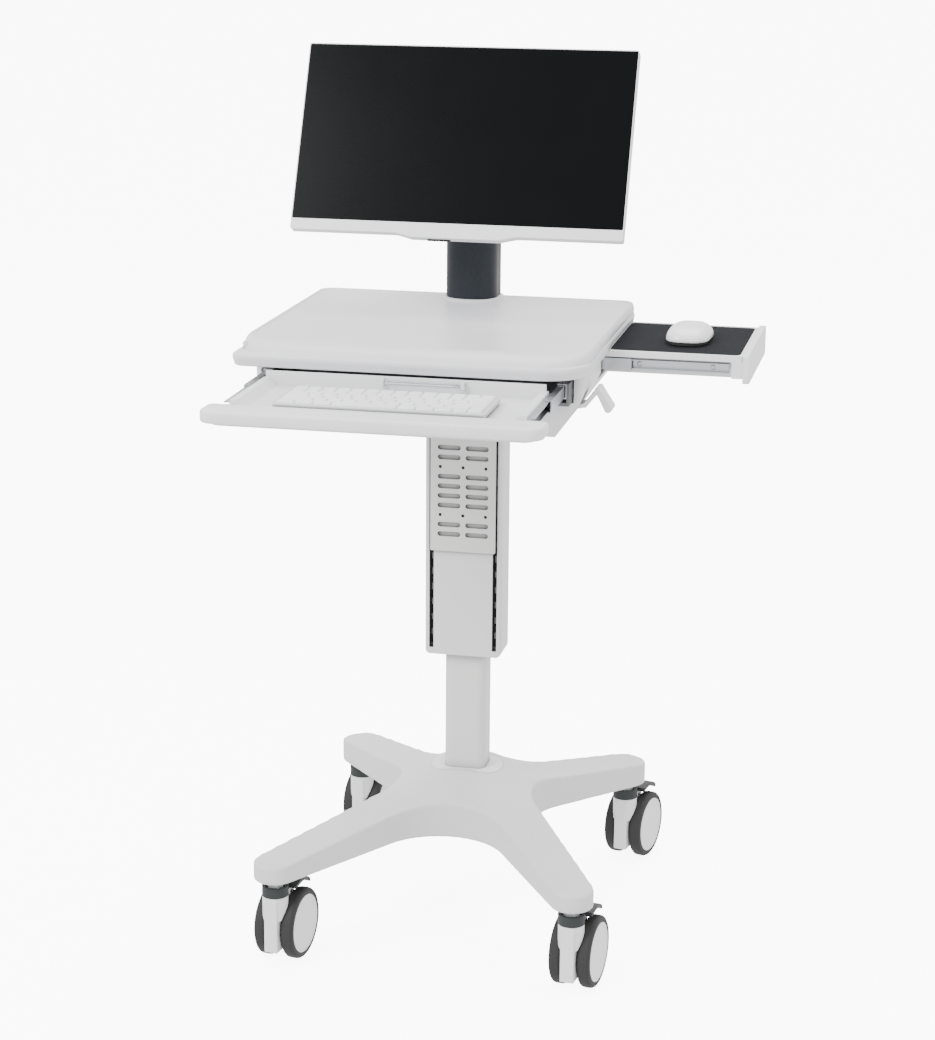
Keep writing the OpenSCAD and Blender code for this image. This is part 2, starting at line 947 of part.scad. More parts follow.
module height_lever() {
    color(white)
        translate([0, lever_y + 13.5, 0])
            rotate([90, 0, 0])
                linear_extrude(27)
                    difference() {
                        union() {
                            translate([lever_x, lever_z])
                                circle(r = 5);
                            lever_bar([lever_x, lever_z], [204, 780], 3, 3);
                            lever_bar([204, 780], [219, 799.5], 3, 3.5);
                            lever_bar([219, 799.5], [232, 777], 3.5, 5);
                        }
                        translate([lever_x, lever_z])
                            circle(r = 2.5 + run);
                    }
}

// bar with round ends between two points
module lever_bar(a, b, ra, rb) {
    d = b - a;
    for (end = [[a, ra], [b, rb]])
        translate(end[0])
            circle(r = end[1]);
    translate(a)
        rotate(atan2(d[1], d[0]))
            polygon([[0, 0.3 - ra], [norm(d), 0.3 - rb], [norm(d), rb - 0.3], [0, ra - 0.3]]);
}

module lever_pin() {
    color(silver)
        translate([lever_x, lever_y - 18, lever_z])
            rotate([-90, 0, 0])
                cylinder(r = 2.5, h = 36);
}

// ---------- neck ----------

module neck_cover() {
    color(charcoal)
        difference() {
            slab(-neck_w / 2, neck_w / 2, neck_y0, neck_y1, boss_z, neck_top, 29, 7);
            slab(-neck_w / 2 + wall, neck_w / 2 - wall, neck_y0 + wall, neck_y1 - wall,
                 boss_z - 1, neck_top - wall, 26, 4);
            slab(-18.5, 18.5, neck_y - 13.5, neck_y + 13.5, neck_top - 10, neck_top + 5, 3, 3);
        }
}

module neck_core() {
    head_z = neck_top + 3;
    color(steel)
        difference() {
            union() {
                slab(-24, 24, neck_y - 22, neck_y + 18, deck_z, deck_z + 5, 4, 4);
                slab(-18, 18, neck_y - 13, neck_y + 13, deck_z, head_z + 1, 3, 3);
                block(-20, 20, pin_y - 9, neck_y + 13, head_z, head_z + 9);
                for (s = [-1, 1])
                    side_profile(s * 17 - 3, s * 17 + 3) {
                        translate([pin_y, pin_z])
                            circle(r = 10);
                        translate([pin_y - 9, head_z + 4])
                            square([18, pin_z - head_z - 4]);
                    }
            }
            x_rod(pin_r + 0.02, 60, pin_y, pin_z);
            slab(-15, 15, neck_y - 10, neck_y + 10, deck_z - 1, head_z - 4, 2, 2);
        }
}

module tilt_pin() {
    color(silver)
        union() {
            x_rod(pin_r, 42, pin_y, pin_z);
            for (s = [-1, 1])
                translate([s * 21.4, 0, 0])
                    x_rod(pin_r + 2, 2.6, pin_y, pin_z);
        }
}

// ---------- monitor, drawn about the tilt pin and facing -Y ----------

module at_monitor() {
    translate([0, pin_y, pin_z])
        rotate([-screen_tilt, 0, 0])
            children();
}

// rectangle on the plane y = y0, going back to y1
module panel(x0, x1, z0, z1, y0, y1, r) {
    translate([0, y1, 0])
        rotate([90, 0, 0])
            linear_extrude(y1 - y0)
                round_rect(x0, x1, z0, z1, r, r);
}

module tilt_plate() {
    color(steel)
        at_monitor()
            difference() {
                union() {
                    panel(-52, 52, -52, 52, back_y, back_y + 3, 6);
                    x_rod(9, 27.6, 0, 0);
                    block(-13.8, 13.8, back_y + 2, 0, -9, 9);
                }
                x_rod(pin_r + run, 40, 0, 0);
                for (x = [-37.5, 37.5])
                    for (z = [-37.5, 37.5])
                        translate([x, back_y + 10, z])
                            rotate([90, 0, 0])
                                cylinder(r = 2.2, h = 20);
            }
}

chin = 5;
frame_y = face_y + 6;

module at_panel() {
    at_monitor()
        translate([panel_x, 0, 0])
            children();
}

module chin_plan() {
    polygon([[-80, 1 - screen_h / 2], [-56, -screen_h / 2 - chin], [58, -screen_h / 2 - chin],
             [84, 1 - screen_h / 2]]);
}

module monitor_frame() {
    color(white)
        at_panel()
            difference() {
                translate([0, frame_y, 0])
                    rotate([90, 0, 0])
                        linear_extrude(6)
                            union() {
                                round_rect(-screen_w / 2, screen_w / 2, -screen_h / 2, screen_h / 2, 3, 3);
                                chin_plan();
                            }
                panel(-screen_w / 2 + 1.2, screen_w / 2 - 1.2, -screen_h / 2 + 14.5, screen_h / 2 - 1.2,
                      face_y - 1, face_y + 3.4, 2);
            }
}

module screen_panel() {
    color(black)
        at_panel()
            panel(-screen_w / 2 + 1.4, screen_w / 2 - 1.4, -screen_h / 2 + 14.7, screen_h / 2 - 1.4,
                  face_y + 0.4, face_y + 3.4, 2);
}

module monitor_back() {
    color(white)
        at_panel()
            difference() {
                union() {
                    panel(-screen_w / 2, screen_w / 2, -screen_h / 2, screen_h / 2, frame_y, frame_y + 7, 3);
                    translate([0, frame_y + 7, 0])
                        rotate([90, 0, 0])
                            linear_extrude(7)
                                chin_plan();
                    hull() {
                        panel(-screen_w / 2 + 6, screen_w / 2 - 6, -screen_h / 2 + 6, screen_h / 2 - 6,
                              frame_y + 6, frame_y + 7, 6, $fn = 32);
                        panel(-150, 150, -84, 84, back_y - 7, back_y - 6, 22, $fn = 32);
                        panel(-138, 138, -72, 72, back_y - 1, back_y, 20, $fn = 32);
                    }
                }
                // hollow behind the screen
                hull() {
                    panel(-screen_w / 2 + 9, screen_w / 2 - 9, -screen_h / 2 + 9, screen_h / 2 - 9,
                          frame_y - 1, frame_y + 4, 4, $fn = 32);
                    panel(-135, 135, -69, 69, back_y - 8, back_y - 7, 18, $fn = 32);
                }
                // pocket of the button strip
                block(-36, -6, frame_y - 1, frame_y + 5.4,
                      -screen_h / 2 - chin - 2, -screen_h / 2 - chin + 3);
            }
}

module monitor_buttons() {
    low = -screen_h / 2 - chin;
    color(black)
        at_panel()
            difference() {
                block(-35.6, -6.4, frame_y + 0.2, frame_y + 5, low - 1.4, low + 1.6);
                block(-21.6, -20.4, frame_y, frame_y + 6, low - 2, low - 0.7);
            }
}

// ---------- nodes ----------

base_star();
foot_cover();
caster_stems();
caster_body(0);  // caster_front_left_body
caster_collar(0);  // caster_front_left_collar
caster_pedal(0);  // caster_front_left_pedal
caster_wheels(0);  // caster_front_left_wheels
caster_tyres(0);  // caster_front_left_tyres
caster_body(1);  // caster_front_right_body
caster_collar(1);  // caster_front_right_collar
caster_pedal(1);  // caster_front_right_pedal
caster_wheels(1);  // caster_front_right_wheels
caster_tyres(1);  // caster_front_right_tyres
caster_body(2);  // caster_rear_left_body
caster_collar(2);  // caster_rear_left_collar
caster_pedal(2);  // caster_rear_left_pedal
caster_wheels(2);  // caster_rear_left_wheels
caster_tyres(2);  // caster_rear_left_tyres
caster_body(3);  // caster_rear_right_body
caster_collar(3);  // caster_rear_right_collar
caster_pedal(3);  // caster_rear_right_pedal
caster_wheels(3);  // caster_rear_right_wheels
caster_tyres(3);  // caster_rear_right_tyres
lower_column();
upper_guide();
gas_cylinder();
gas_rod();
upper_column();
lower_guide();
track_strips();
accessory_bracket();
head_frame();
head_housing();
worktop();
fixed_slides();
drawer_tray();
drawer_slides();
drawer_middle_slides();
keyboard_clip();
keyboard_case();
keyboard_keys();
space_bar();
mouse_tray();
mouse_mat();
tray_end_cover();
mouse_slides();
mouse_middle_slides();
mouse_base();
mouse_shell();
mouse_wheel();
height_lever();
lever_pin();
neck_cover();
neck_core();
tilt_pin();
tilt_plate();
monitor_back();
monitor_frame();
screen_panel();
monitor_buttons();
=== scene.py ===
import json
import math

import bmesh
import bpy
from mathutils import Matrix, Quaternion, Vector


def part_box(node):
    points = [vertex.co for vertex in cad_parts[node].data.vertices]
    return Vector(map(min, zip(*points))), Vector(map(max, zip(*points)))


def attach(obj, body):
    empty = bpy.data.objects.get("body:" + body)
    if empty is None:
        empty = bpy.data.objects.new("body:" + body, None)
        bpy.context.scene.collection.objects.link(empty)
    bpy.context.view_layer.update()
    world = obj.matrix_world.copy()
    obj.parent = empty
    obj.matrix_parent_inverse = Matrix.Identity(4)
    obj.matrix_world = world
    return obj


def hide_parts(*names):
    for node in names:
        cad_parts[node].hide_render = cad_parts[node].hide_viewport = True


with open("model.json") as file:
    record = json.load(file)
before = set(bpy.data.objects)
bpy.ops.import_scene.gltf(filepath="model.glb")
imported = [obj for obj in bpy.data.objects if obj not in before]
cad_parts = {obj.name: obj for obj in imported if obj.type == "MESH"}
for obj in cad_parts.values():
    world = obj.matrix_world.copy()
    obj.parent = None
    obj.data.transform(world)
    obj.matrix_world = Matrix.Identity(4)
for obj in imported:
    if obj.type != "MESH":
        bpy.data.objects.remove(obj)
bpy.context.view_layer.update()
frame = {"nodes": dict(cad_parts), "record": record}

MM = 0.001
NODES = frame["nodes"]

# ------------------------------------------------------------------ camera
AZIMUTH, ELEVATION, ROLL = 12.13, 15.10, 0.43
DISTANCE = 3.358
AIM = Vector((-0.0028, 0.001, 0.5466))


def add_camera():
    cam = bpy.data.cameras.new("camera")
    cam.sensor_fit = "VERTICAL"
    cam.sensor_height = 36.0
    cam.lens = 85.76
    cam.clip_end = 100
    obj = bpy.data.objects.new("camera", cam)
    bpy.context.scene.collection.objects.link(obj)
    a, e, r = (math.radians(v) for v in (AZIMUTH, ELEVATION, ROLL))
    away = Vector((math.sin(a) * math.cos(e), -math.cos(a) * math.cos(e), math.sin(e)))
    obj.location = AIM + away * DISTANCE
    turn = (-away).to_track_quat("-Z", "Y")
    obj.rotation_mode = "QUATERNION"
    obj.rotation_quaternion = turn @ Quaternion((0, 0, 1), r)
    bpy.context.scene.camera = obj


add_camera()


# --------------------------------------------------------------- materials
def node_material(name):
    mat = bpy.data.materials.new(name)
    mat.use_nodes = True
    tree = mat.node_tree
    tree.nodes.clear()
    out = tree.nodes.new("ShaderNodeOutputMaterial")
    bsdf = tree.nodes.new("ShaderNodeBsdfPrincipled")
    tree.links.new(bsdf.outputs[0], out.inputs[0])
    coord = tree.nodes.new("ShaderNodeTexCoord")
    return mat, tree, bsdf, coord


def noise(tree, coord, scale, detail=3, rough=0.5, stretch=None):
    tex = tree.nodes.new("ShaderNodeTexNoise")
    tex.inputs["Scale"].default_value = scale
    tex.inputs["Detail"].default_value = detail
    tex.inputs["Roughness"].default_value = rough
    source = coord.outputs["Object"]
    if stretch:
        mapping = tree.nodes.new("ShaderNodeMapping")
        mapping.inputs["Scale"].default_value = stretch
        tree.links.new(source, mapping.inputs["Vector"])
        source = mapping.outputs["Vector"]
    tree.links.new(source, tex.inputs["Vector"])
    return tex


def ramp(tree, source, low, high, a=0.3, b=0.7):
    node = tree.nodes.new("ShaderNodeMapRange")
    node.inputs["From Min"].default_value = a
    node.inputs["From Max"].default_value = b
    node.inputs["To Min"].default_value = low
    node.inputs["To Max"].default_value = high
    tree.links.new(source, node.inputs["Value"])
    return node.outputs["Result"]


def finish(name, color, rough=(0.4, 0.5), grain=900, bump=0.05, tint=0.03, metal=0.0,
           stretch=None, edge=0.0006, wear=0.0, coat=0.0, spec=0.5, painted_crevice_shade=0.0):
    """A moulded, painted or plated finish: uneven roughness, fine grain, slight colour drift, soft edges and,
    within the crevice distance, painted shade that darkens the colour in gaps. Distances are in metres."""
    mat, tree, bsdf, coord = node_material(name)
    bsdf.inputs["Metallic"].default_value = metal
    bsdf.inputs["Specular IOR Level"].default_value = spec
    bsdf.inputs["Coat Weight"].default_value = coat
    bsdf.inputs["Coat Roughness"].default_value = 0.15
    broad = noise(tree, coord, 9, 4)
    fine = noise(tree, coord, grain, 2, stretch=stretch)
    tree.links.new(ramp(tree, broad.outputs["Fac"], rough[0], rough[1]), bsdf.inputs["Roughness"])
    mix = tree.nodes.new("ShaderNodeMix")
    mix.data_type = "RGBA"
    tree.links.new(ramp(tree, broad.outputs["Fac"], 0.0, 1.0), mix.inputs["Factor"])
    mix.inputs["A"].default_value = (*[c * (1 - tint) for c in color], 1)
    mix.inputs["B"].default_value = (*[min(1, c * (1 + tint)) for c in color], 1)
    color_out = mix.outputs["Result"]
    if wear:
        spots = noise(tree, coord, 60, 6, 0.7)
        dirt = tree.nodes.new("ShaderNodeMix")
        dirt.data_type = "RGBA"
        tree.links.new(ramp(tree, spots.outputs["Fac"], 0.0, wear, 0.55, 0.75), dirt.inputs["Factor"])
        tree.links.new(color_out, dirt.inputs["A"])
        dirt.inputs["B"].default_value = (*[c * 0.7 for c in color], 1)
        color_out = dirt.outputs["Result"]
    # painted shade: ambient occlusion darkens the base colour in gaps and corners, up to the crevice distance
    if painted_crevice_shade:
        shade = tree.nodes.new("ShaderNodeAmbientOcclusion")
        shade.samples = 6
        shade.inputs["Distance"].default_value = painted_crevice_shade
        tree.links.new(color_out, shade.inputs["Color"])
        color_out = shade.outputs["Color"]
    tree.links.new(color_out, bsdf.inputs["Base Color"])
    bump_node = tree.nodes.new("ShaderNodeBump")
    bump_node.inputs["Strength"].default_value = bump
    bump_node.inputs["Distance"].default_value = 0.0003
    tree.links.new(fine.outputs["Fac"], bump_node.inputs["Height"])
    if edge:
        bevel = tree.nodes.new("ShaderNodeBevel")
        bevel.samples = 4
        bevel.inputs["Radius"].default_value = edge
        tree.links.new(bevel.outputs["Normal"], bump_node.inputs["Normal"])
    tree.links.new(bump_node.outputs["Normal"], bsdf.inputs["Normal"])
    return mat


M = {
    "white_plastic": finish("white_plastic", (0.64, 0.645, 0.655), (0.36, 0.46), edge=0.0012),
    "top_plastic": finish("top_plastic", (0.58, 0.583, 0.605), (0.34, 0.44), grain=1400, bump=0.08,
                          edge=0.0012),
    # white_paint and bracket_paint carry painted shade in their gaps and in the bracket's slots (crevice
    # distance)
    "white_paint": finish("white_paint", (0.54, 0.54, 0.535), (0.38, 0.48), grain=600, bump=0.06,
                          edge=0.0010, painted_crevice_shade=0.014),
    "bracket_paint": finish("bracket_paint", (0.50, 0.50, 0.49), (0.40, 0.50), grain=600, bump=0.06,
                            edge=0.0008, painted_crevice_shade=0.008),
    "base_paint": finish("base_paint", (0.53, 0.53, 0.53), (0.40, 0.52), grain=500, bump=0.10, edge=0.0020),
    "slide_steel": finish("slide_steel", (0.46, 0.47, 0.49), (0.22, 0.36), grain=300, bump=0.08, metal=1.0,
                          stretch=(1, 1, 8), edge=0.0003),
    "zinc": finish("zinc", (0.66, 0.71, 0.71), (0.30, 0.45), grain=300, bump=0.05, metal=0.5, edge=0.0006),
    "frame_steel": finish("frame_steel", (0.11, 0.11, 0.12), (0.45, 0.6), edge=0.0006, spec=0.4),
    "grey_plastic": finish("grey_plastic", (0.030, 0.034, 0.034), (0.45, 0.55), spec=0.12),
    "pedal_plastic": finish("pedal_plastic", (0.022, 0.023, 0.024), (0.40, 0.52), spec=0.35, edge=0.0010),
    "charcoal_plastic": finish("charcoal_plastic", (0.014, 0.017, 0.022), (0.40, 0.52), grain=1200,
                               bump=0.12, edge=0.0010, spec=0.18),
    "black_plastic": finish("black_plastic", (0.005, 0.005, 0.006), (0.5, 0.65), spec=0.2),
    "guide_plastic": finish("guide_plastic", (0.012, 0.012, 0.012), (0.5, 0.6), spec=0.2),
    "tyre_rubber": finish("tyre_rubber", (0.030, 0.0305, 0.030), (0.5, 0.66), grain=700, bump=0.15,
                          wear=0.3, spec=0.10),
    "mat": finish("mat", (0.013, 0.014, 0.016), (0.85, 0.95), grain=2200, bump=0.5, spec=0.05),
    # key_case carries painted shade in the gaps between the keys (crevice distance)
    "key_case": finish("key_case", (0.50, 0.505, 0.52), (0.36, 0.46), edge=0.0006, painted_crevice_shade=0.004),
    "key_plastic": finish("key_plastic", (0.70, 0.705, 0.725), (0.42, 0.5), edge=0.0006),
    "mouse_plastic": finish("mouse_plastic", (0.72, 0.72, 0.73), (0.16, 0.24), bump=0.02, coat=0.2, spec=0.5),
    "screen": finish("screen", (0.0016, 0.0022, 0.0024), (0.20, 0.24), bump=0.0, edge=0, spec=0.05),
}

SLOT_OF = {entry["node"]: entry["material_slot"] for entry in frame["record"]["subparts"]}


def paint(obj, key):
    obj.data.materials.clear()
    obj.data.materials.append(M[key])


for node_name, obj in NODES.items():
    paint(obj, SLOT_OF[node_name])
paint(NODES["accessory_bracket"], "bracket_paint")
paint(NODES["caster_stems"], "zinc")
for node_name in NODES:
    if node_name.endswith("_pedal"):
        paint(NODES[node_name], "pedal_plastic")


# ------------------------------------------------------------------ pieces
BODY_OF = {node: body for body, names in frame["record"]["behaviour"]["bodies"].items() for node in names}


def new_object(name, mesh, key, *replaced, rides=None, slot=None):
    mesh.materials.clear()
    mesh.materials.append(M[key])
    obj = bpy.data.objects.new(name, mesh)
    bpy.context.scene.collection.objects.link(obj)
    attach(obj, rides or BODY_OF[replaced[0]])
    if replaced:
        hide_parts(*replaced)
    return obj


def rounded(x0, x1, y0, y1, rf, rb, n=10, right=None):
    """Outline from the front left: front corners rf (the right one may differ), back corners rb."""
    points = []
    fr = right or rf
    for cx, cy, r, start in ((x0 + rf, y0 + rf, rf, 180), (x1 - fr, y0 + fr, fr, 270),
                             (x1 - rb, y1 - rb, rb, 0), (x0 + rb, y1 - rb, rb, 90)):
        for k in range(n + 1):
            a = math.radians(start + 90 * k / n)
            points.append((cx + r * math.cos(a), cy + r * math.sin(a)))
    return points


def ring(z, outline):
    return [(x, y, z) for x, y in outline]


def loft(name, rings, caps=(True, True), sharp=35, into=None):
    """Skin through rings of equally many points, in mm."""
    bm = into or bmesh.new()
    verts = [[bm.verts.new([c * MM for c in p]) for p in points] for points in rings]
    count = len(rings[0])
    for low, high in zip(verts, verts[1:]):
        for k in range(count):
            bm.faces.new((low[k], low[(k + 1) % count], high[(k + 1) % count], high[k]))
    if caps[0]:
        bm.faces.new(list(reversed(verts[0])))
    if caps[1]:
        bm.faces.new(verts[-1])
    if into:
        return bm
    return to_mesh(name, bm, sharp)


def to_mesh(name, bm, sharp=35):
    mesh = bpy.data.meshes.new(name)
    bmesh.ops.recalc_face_normals(bm, faces=bm.faces)
    bm.to_mesh(mesh)
    bm.free()
    for poly in mesh.polygons:
        poly.use_smooth = True
    if sharp:
        mesh.set_sharp_from_angle(angle=math.radians(sharp))
    return mesh


def add_box(bm, x0, x1, y0, y1, z0, z1, inset=0.0):
    """Box whose top is inset on every side."""
    corners = []
    for z, d in ((z0, 0.0), (z1, inset)):
        outline = ((x0 + d, y0 + d), (x1 - d, y0 + d), (x1 - d, y1 - d), (x0 + d, y1 - d))
        corners.append([bm.verts.new([c * MM for c in (x, y, z)]) for x, y in outline])
    low, high = corners
    bm.faces.new(list(reversed(low)))
    bm.faces.new(high)
    for k in range(4):
        bm.faces.new((low[k], low[(k + 1) % 4], high[(k + 1) % 4], high[k]))


def apply_all(obj):
    """Turns the object's modifiers into its mesh."""
    graph = bpy.context.evaluated_depsgraph_get()
    mesh = bpy.data.meshes.new_from_object(obj.evaluated_get(graph))
    obj.modifiers.clear()
    obj.data = mesh


def bevel(obj, width, segments=2, angle=30):
    mod = obj.modifiers.new("bevel", "BEVEL")
    mod.width = width * MM
    mod.segments = segments
    mod.limit_method = "ANGLE"
    mod.angle_limit = math.radians(angle)
    mod.harden_normals = True
    apply_all(obj)


def cut(obj, *boxes):
    """Takes boxes out of the object."""
    bm = bmesh.new()
    for b in boxes:
        add_box(bm, *b)
    tool = bpy.data.objects.new("tool", to_mesh("tool", bm, 0))
    bpy.context.scene.collection.objects.link(tool)
    mod = obj.modifiers.new("cut", "BOOLEAN")
    mod.operation = "DIFFERENCE"
    mod.solver = "EXACT"
    mod.object = tool
    apply_all(obj)
    bpy.data.objects.remove(tool)
    obj.data.set_sharp_from_angle(angle=math.radians(35))


def soften(name, node, voxel, passes, key):
    """Copy of a CAD node with soft moulded edges."""
    mesh = NODES[node].data.copy()
    obj = new_object(name, mesh, key, node)
    mod = obj.modifiers.new("remesh", "REMESH")
    mod.mode = "VOXEL"
    mod.voxel_size = voxel * MM
    mod.use_smooth_shade = True
    smooth = obj.modifiers.new("smooth", "SMOOTH")
    smooth.factor = 0.5
    smooth.iterations = passes
    apply_all(obj)
    obj.data.materials.clear()
    obj.data.materials.append(M[key])
    for poly in obj.data.polygons:
        poly.use_smooth = True
    return obj


def mm_box(node):
    lo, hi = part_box(node)
    return [c / MM for c in lo], [c / MM for c in hi]


def islands(node):
    """Boxes in mm of the separate solids of a CAD node."""
    mesh = NODES[node].data
    parent = list(range(len(mesh.vertices)))
    spot = {}
    for v in mesh.vertices:
        parent[v.index] = spot.setdefault(tuple(round(c, 6) for c in v.co), v.index)

    def root(i):
        while parent[i] != i:
            parent[i] = parent[parent[i]]
            i = parent[i]
        return i

    for edge in mesh.edges:
        a, b = (root(i) for i in edge.vertices)
        if a != b:
            parent[a] = b
    groups = {}
    for v in mesh.vertices:
        p = [c / MM for c in v.co]
        lo, hi = groups.setdefault(root(v.index), (p[:], p[:]))
        for k in range(3):
            lo[k] = min(lo[k], p[k])
            hi[k] = max(hi[k], p[k])
    return list(groups.values())


# ---------------------------------------------------------------- worktop
def make_worktop():
    """Shell, open below: each ring has a height, the insets at the sides, front and back, and the
    radii of the left front and back corners. The right front corner is never tighter than 52."""
    lo, hi = mm_box("worktop")
    w, y0, y1 = hi[0], lo[1], hi[1]
    rim = hi[2] - 2.5
    lip = 823.0
    rings = []

    def add(z, inx, front, back, rf, rb):
        outline = rounded(-w + inx, w - inx, y0 + front, y1 - back, rf, rb, 14, right=max(rf, 52))
        rings.append(ring(z, outline))

    add(rim - 6, 4, 34, 4, 9, 14)
    add(lip, 4, 34, 4, 9, 14)
    add(lip - 0.2, 5, 9, 4, 12, 14)
    add(lip - 0.2, 3.4, 4.6, 2.4, 12, 17)
    add(lip + 0.8, 1.8, 3.2, 1.2, 13, 18)
    add(lip + 7.5, 0.3, 0.9, 0.2, 14, 18)
    add(lip + 9, 0.0, 0.2, 0.0, 14, 18)
    add(lip + 11, 0.0, 0.0, 0.0, 14, 18)
    add(lip + 13.4, 0.2, 0.3, 0.0, 14, 18)
    add(lip + 14.6, 1.0, 1.0, 0.2, 14, 18)
    add(lip + 15.1, 2.6, 2.6, 0.3, 14, 18)
    add(lip + 15.3, 1.4, 3.6, 0.3, 60, 18)
    add(lip + 17, 0.8, 4.2, 0.3, 62, 18)
    add(lip + 20, 0.8, 6.4, 0.4, 62, 18)
    add(lip + 23.5, 1.3, 11.5, 0.8, 60, 18)
    add(lip + 26, 2.2, 18.5, 1.6, 57, 18)
    add(rim - 0.35, 3.4, 26, 2.8, 54, 17)
    add(rim, 4.8, 32, 4.2, 50, 16)
    add(rim - 0.1, 6.2, 37, 5.6, 46, 15)
    add(rim - 0.8, 7.2, 39.5, 6.6, 43, 14)
    add(rim - 1.7, 8.2, 41, 7.6, 41, 13)
    add(rim - 2.0, 9.8, 43, 9.2, 39, 12)
    mesh = loft("worktop_shell", rings)
    obj = new_object("worktop_shell", mesh, "top_plastic", "worktop")
    bay_lo, bay_hi = mm_box("mouse_tray")
    cut(obj, (w - 12, w + 5, bay_lo[1] - 4, bay_hi[1] + 4, lip - 9, 831))
    # raised collar that the neck stands in
    nlo, nhi = mm_box("neck_cover")
    x0, x1, f, b = nlo[0] - 4, nhi[0] + 4, nlo[1] - 4, nhi[1] + 2
    rings = []
    for z, d in ((rim - 3, 0), (rim + 0.8, 0), (rim + 1.8, 0.5), (rim + 2.4, 1.6), (rim + 2.5, 3.0)):
        rings.append(ring(z, rounded(x0 + d, x1 - d, f + d, b - min(d, 1.5), 32 - d, 9 - min(d, 1.5), 12)))
    new_object("neck_collar", loft("neck_collar", rings), "top_plastic", "worktop")


make_worktop()
soften("base_casting", "base_star", 2.2, 7, "base_paint")


# ---------------------------------------------------------------- casters
def make_casters():
    for name in [n for n in NODES if n.startswith("caster_")]:
        part = name.rsplit("_", 1)[1]
        if part == "body":
            soften(name.replace("_body", "_housing"), name, 1.1, 5, "white_plastic")
        elif part == "pedal":
            soften(name.replace("_pedal", "_foot_pedal"), name, 0.8, 4, "pedal_plastic")


make_casters()


# ----------------------------------------------------------------- drawer
def make_drawer():
    lo, hi = mm_box("drawer_tray")
    w, y0, y1 = hi[0], lo[1], hi[1]
    back = y0 + 48
    tray = 174
    rings = []
    # under-layer, then the palm rest, whose top falls by follow mm towards the keyboard
    for z, d, follow in ((788.6, 14, 0), (789.0, 12.4, 0), (792.6, 11.4, 0), (792.8, 2.2, 0),
                         (793.4, 0.8, 0), (795, 0, 0), (803.4, 0, 0.4), (805.6, 0.3, 1),
                         (807.0, 1.2, 1), (807.8, 2.6, 1), (808.0, 4.6, 1)):
        front_r = 18 - min(d, 9) * 0.7
        outline = rounded(-w + d, w - d, y0 + d, back - min(d, 2.0), front_r, 6 - min(d, 2), 12)
        rings.append([(x, y, z - follow * min(1, max(0, (y - y0 - 12) / 36))) for x, y in outline])
    rest = new_object("palm_rest", loft("palm_rest", rings), "white_plastic", "drawer_tray")
    cut(rest, (-159, 159, back - 0.4, back + 4, 802.5, 820))

    # the pan's section: half of its outline from the middle of the floor, and its mirror image
    floor, rim, well, under = 802.5, 812.0, 155, 797
    half = [(tray, under), (tray, rim - 0.8), (tray - 0.8, rim), (tray - 8.4, rim),
            (tray - 9.2, rim - 0.6), (well + 1.2, floor + 0.9), (well - 1, floor)]
    section = half + [(-x, z) for x, z in reversed(half)]
    rings = [[(x, y, z) for x, z in section] for y in (back - 1, back + 2, y1 - 2)]
    mesh = loft("drawer_pan", rings)
    new_object("drawer_pan", mesh, "white_plastic", "drawer_tray")
    bm = bmesh.new()
    add_box(bm, 3 - tray, tray - 3, y1 - 3, y1, 797.5, 820)
    wall = new_object("drawer_wall", to_mesh("drawer_wall", bm, 30), "white_plastic", "drawer_tray")
    bevel(wall, 1.0)
    bm = bmesh.new()
    for x in (-26, 72):
        add_box(bm, x - 2.5, x + 2.5, y1 - 10.5, y1 - 2.5, 809, 818.5)
    knuckles = new_object("clip_knuckles", to_mesh("clip_knuckles", bm, 30), "white_plastic", "drawer_tray")
    bevel(knuckles, 0.8)


make_drawer()


# --------------------------------------------------------------- keyboard
def make_keyboard():
    lo, hi = mm_box("keyboard_case")
    rings = []
    for z, d in ((804.0, 2.0), (804.6, 0.8), (806, 0.0), (809.4, 0.0), (810.2, 0.6), (810.5, 1.6)):
        rings.append(ring(z, rounded(lo[0] + d, hi[0] - d, lo[1] + d, hi[1] - d, 5, 5, 6)))
    new_object("keyboard_body", loft("keyboard_body", rings), "key_case", "keyboard_case")
    for name, node in (("key_caps", "keyboard_keys"), ("space_key_cap", "space_bar")):
        bm = bmesh.new()
        for klo, khi in islands(node):
            rings = []
            for z, d in ((810.3, -0.25), (811.6, 0.1), (812.6, 0.7), (813.0, 1.3), (812.9, 2.4)):
                rings.append(ring(z, rounded(klo[0] + d, khi[0] - d, klo[1] + d, khi[1] - d, 1.4, 1.4, 3)))
            loft(name, rings, into=bm)
        new_object(name, to_mesh(name, bm, 50), "key_plastic", node)


make_keyboard()


# ------------------------------------------------------- lever and slides
soften("lever_paddle", "height_lever", 0.8, 5, "white_plastic")


def make_slide_members():
    """The tray's sliding members with the screws that hold them."""
    lo, hi = mm_box("mouse_slides")
    mid = (lo[2] + hi[2]) / 2
    bm = bmesh.new()
    bm.from_mesh(NODES["mouse_slides"].data)
    for y, out in ((lo[1] + 6.8, -1), (hi[1] - 6.8, 1)):
        for x in (lo[0] + 46, hi[0] - 20):
            rings = []
            for depth, r in ((0, 3.2), (1.0, 3.0), (1.6, 2.2), (1.65, 1.0), (0.8, 0.8)):
                angles = [a * math.pi / 12 for a in range(24)]
                rings.append([(x + r * math.cos(a), y + out * depth, mid + r * math.sin(a)) for a in angles])
            loft("screw", rings, into=bm)
    mesh = to_mesh("mouse_slide_members", bm, 30)
    new_object("mouse_slide_members", mesh, "slide_steel", "mouse_slides")


make_slide_members()


# ------------------------------------------------------------------ mouse
def egg(wid, length, n=48):
    """Outline between an ellipse and a rectangle."""
    points = []
    for k in range(n):
        a = 2 * math.pi * k / n
        c, s = math.cos(a), math.sin(a)
        points.append((wid / 2 * math.copysign(abs(c) ** 0.62, c),
                       length / 2 * math.copysign(abs(s) ** 0.70, s)))
    return points


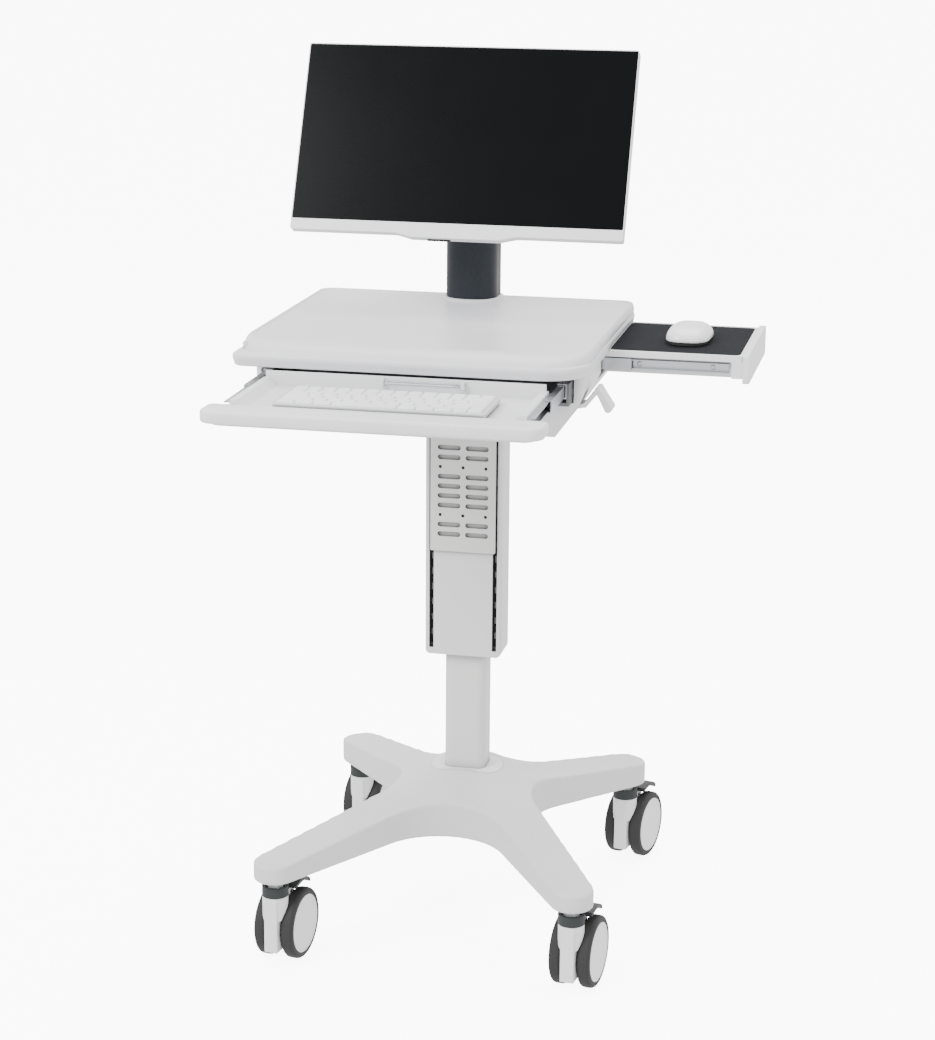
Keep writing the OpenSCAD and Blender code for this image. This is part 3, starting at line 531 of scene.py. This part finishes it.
def make_mouse():
    lo, hi = mm_box("mouse_shell")
    cx, cy = (lo[0] + hi[0]) / 2, (lo[1] + hi[1]) / 2
    wid, length, z0, z1 = hi[0] - lo[0], hi[1] - lo[1], lo[2], hi[2]
    blo, bhi = mm_box("mouse_base")
    rings = []
    base_w, base_l = bhi[0] - blo[0], bhi[1] - blo[1]
    for z, d in ((blo[2] + 0.2, 2.0), (blo[2] + 1.2, 0.6), (blo[2] + 3, 0.0), (bhi[2] - 0.3, 0.4),
                 (bhi[2], 1.6)):
        rings.append([(cx + x, cy + y, z) for x, y in egg(base_w - 2 * d, base_l - 2 * d)])
    new_object("mouse_foot", loft("mouse_foot", rings), "grey_plastic", "mouse_base")
    rings = [[(cx + x, cy + y, z0) for x, y in egg(wid - 2.4, length - 2.4)]]
    steps = 14
    for k in range(steps + 1):
        t = k / steps
        a = math.radians(88 * t)
        side = math.cos(a) ** 0.62
        rise = math.sin(a) ** 1.15
        rings.append([(cx + x, cy + y - 5 * rise, z0 + 0.6 + (z1 - z0 - 0.6) * rise)
                      for x, y in egg(wid * side, length * side)])
    shell = new_object("mouse_cover", loft("mouse_cover", rings, sharp=60), "mouse_plastic", "mouse_shell")
    wlo, whi = mm_box("mouse_wheel")
    wy = (wlo[1] + whi[1]) / 2
    cut(shell, (cx - 3.8, cx + 3.8, wlo[1] - 0.4, whi[1] + 0.4, z0 + 1, z1 + 6))
    cut(shell, (cx - 0.35, cx + 0.35, wy + 7, hi[1] + 5, z0 + 6, z1 + 6))
    shell.data.set_sharp_from_angle(angle=math.radians(60))


make_mouse()


# ------------------------------------------------------------ studio
def add_floor():
    bm = bmesh.new()
    bmesh.ops.create_grid(bm, x_segments=1, y_segments=1, size=40)
    mesh = bpy.data.meshes.new("floor")
    bm.to_mesh(mesh)
    bm.free()
    obj = bpy.data.objects.new("floor", mesh)
    bpy.context.scene.collection.objects.link(obj)
    white = finish("floor_paint", (0.9, 0.9, 0.9), (0.55, 0.65), grain=40, bump=0.01, tint=0.005, edge=0)
    surface = white.node_tree.nodes["Principled BSDF"]
    surface.inputs["Emission Color"].default_value = (1, 1, 1, 1)
    surface.inputs["Emission Strength"].default_value = 8.0
    mesh.materials.append(white)
    # a lit floor: it is bright itself and leaves the light on the cart to the studio
    obj.visible_diffuse = False
    obj.visible_glossy = False


def add_area(name, place, size, power, aim=(0, 0, 0.6)):
    light = bpy.data.lights.new(name, "AREA")
    light.shape = "RECTANGLE"
    light.size, light.size_y = size
    light.energy = power
    obj = bpy.data.objects.new(name, light)
    bpy.context.scene.collection.objects.link(obj)
    obj.location = place
    obj.rotation_mode = "QUATERNION"
    obj.rotation_quaternion = (Vector(aim) - Vector(place)).to_track_quat("-Z", "Y")


add_floor()
add_area("key_light", (-2.2, -2.8, 3.2), (1.6, 1.6), 190)
add_area("fill_light", (3.2, -2.0, 2.0), (2.0, 2.0), 20)
add_area("top_light", (0.3, 1.2, 4.0), (3.0, 3.0), 125)
world = bpy.data.worlds.new("studio")
world.use_nodes = True
world.node_tree.nodes["Background"].inputs[0].default_value = (1, 1, 1, 1)
world.node_tree.nodes["Background"].inputs[1].default_value = 2.0
bpy.context.scene.world = world
